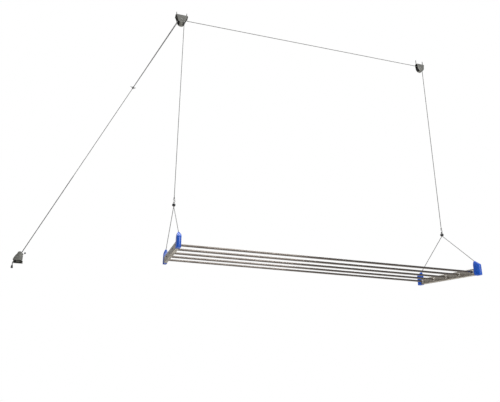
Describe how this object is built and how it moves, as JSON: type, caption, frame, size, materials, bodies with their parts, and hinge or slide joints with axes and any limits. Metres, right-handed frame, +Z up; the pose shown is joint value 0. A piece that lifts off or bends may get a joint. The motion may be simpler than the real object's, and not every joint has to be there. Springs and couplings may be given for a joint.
{
  "type": "ceiling pulley rack",
  "caption": "Ceiling mounted pulley drying rack: steel rods between end plates with plastic caps, hung on bridles from pulley cords that run to a wall cleat.",
  "frame": {"origin": "in the ceiling's plane, midway between the double pulley's two screws", "axes": "+X along the rods from the double pulley to the single pulley, +Y to the wall behind the rack, +Z up"},
  "size_m": [2.7206, 0.6225, 1.738],
  "materials": {
    "housing_steel": "pressed stainless steel, satin",
    "base_steel": "pressed steel, dull",
    "pin_steel": "turned steel, bright",
    "screw_steel": "zinc plated steel, darkened",
    "wheel_nylon": "moulded black nylon",
    "plate_steel": "brushed stainless steel, long grain",
    "rod_steel": "polished stainless steel tube",
    "collar_steel": "turned stainless steel",
    "plug_plastic": "moulded black plastic",
    "cap_plastic": "glossy moulded blue plastic",
    "bead_plastic": "glossy black plastic",
    "hook_steel": "bent steel wire",
    "lift_cord": "braided nylon cord, light grey",
    "pull_cord": "braided nylon cord, grey",
    "knob_plastic": "moulded dark grey plastic",
    "lever_steel": "bright steel rod"
  },
  "bodies": {
    "fixings": {"double_pulley_plate": "base_steel", "double_pulley_housing": "housing_steel", "double_pulley_axle": "pin_steel", "double_pulley_screws": "screw_steel", "single_pulley_plate": "base_steel", "single_pulley_housing": "housing_steel", "single_pulley_axle": "pin_steel", "single_pulley_screws": "screw_steel", "left_hanging_cord": "lift_cord", "right_hanging_cord": "lift_cord", "left_wheel_cord": "lift_cord", "ceiling_cord": "lift_cord", "left_run_cord": "lift_cord", "right_run_cord": "lift_cord", "pull_cord_upper": "lift_cord", "pull_cord_lower": "pull_cord", "cleat_cord": "pull_cord", "tail_cord": "pull_cord", "cleat_plate": "base_steel", "cleat_housing": "housing_steel", "cleat_jaw": "pin_steel", "cleat_screws": "screw_steel", "cleat_pin": "pin_steel"},
    "near_wheel": {"near_wheel": "wheel_nylon"},
    "far_wheel": {"far_wheel": "wheel_nylon"},
    "single_wheel": {"single_wheel": "wheel_nylon"},
    "hooks": {"left_hook": "hook_steel", "right_hook": "hook_steel"},
    "rack": {"left_end_plate": "plate_steel", "right_end_plate": "plate_steel", "rod_1": "rod_steel", "rod_2": "rod_steel", "rod_3": "rod_steel", "rod_4": "rod_steel", "rod_5": "rod_steel", "left_rod_collars": "collar_steel", "right_rod_collars": "collar_steel", "left_rod_plugs": "plug_plastic", "right_rod_plugs": "plug_plastic", "left_rod_screws": "screw_steel", "right_rod_screws": "screw_steel", "near_left_cap": "cap_plastic", "far_left_cap": "cap_plastic", "near_right_cap": "cap_plastic", "far_right_cap": "cap_plastic", "left_bridle_cord": "lift_cord", "right_bridle_cord": "lift_cord", "left_bead": "bead_plastic", "right_bead": "bead_plastic"},
    "cord_knot": {"cord_knot": "lift_cord"},
    "pull_knob": {"pull_knob": "knob_plastic"},
    "lever": {"cleat_cam": "pin_steel", "cleat_lever": "lever_steel", "cleat_ball": "bead_plastic"}
  },
  "joints": [
    {"name": "rack_lift", "type": "slide", "parent": "fixings", "child": "hooks", "axis": [0, 0, 1], "range_m": [0, 1.15], "deforming": ["left_hanging_cord", "right_hanging_cord"]},
    {"name": "rack_tilt", "type": "hinge", "parent": "hooks", "child": "rack", "pos_m": [0.0183, -0.009, -1.301], "axis": [1, 0, 0], "range_deg": [-15, 15]},
    {"name": "near_wheel_spin", "type": "hinge", "parent": "fixings", "child": "near_wheel", "pos_m": [0, -0.009, -0.033], "axis": [0, -1, 0], "range_deg": [0, 3601]},
    {"name": "far_wheel_spin", "type": "hinge", "parent": "fixings", "child": "far_wheel", "pos_m": [0, 0.009, -0.033], "axis": [0, -1, 0], "range_deg": [0, 3601]},
    {"name": "single_wheel_spin", "type": "hinge", "parent": "fixings", "child": "single_wheel", "pos_m": [1.813, -0.009, -0.033], "axis": [0, -1, 0], "range_deg": [0, 3601]},
    {"name": "knot_slide", "type": "slide", "parent": "fixings", "child": "cord_knot", "axis": [-0.4491, 0.171, -0.877], "range_m": [0, 1.15], "deforming": ["left_run_cord", "right_run_cord", "pull_cord_upper", "pull_cord_lower"]},
    {"name": "knob_slide", "type": "slide", "parent": "fixings", "child": "pull_knob", "axis": [0, 0, -1], "range_m": [0, 1.15], "deforming": ["tail_cord"]},
    {"name": "lever_swing", "type": "hinge", "parent": "fixings", "child": "lever", "pos_m": [-0.83336, 0.308, -1.63847], "axis": [0, 1, 0], "range_deg": [0, 35], "stiffness_Nm_per_rad": 0.05, "springref_deg": -17.19}
  ],
  "couplings": [
    {"joint": "near_wheel_spin", "follows": "rack_lift", "rad_per_m": 54.645},
    {"joint": "far_wheel_spin", "follows": "rack_lift", "rad_per_m": 54.645},
    {"joint": "single_wheel_spin", "follows": "rack_lift", "rad_per_m": 54.645},
    {"joint": "knot_slide", "follows": "rack_lift", "ratio": 1},
    {"joint": "knob_slide", "follows": "rack_lift", "ratio": 1}
  ]
}
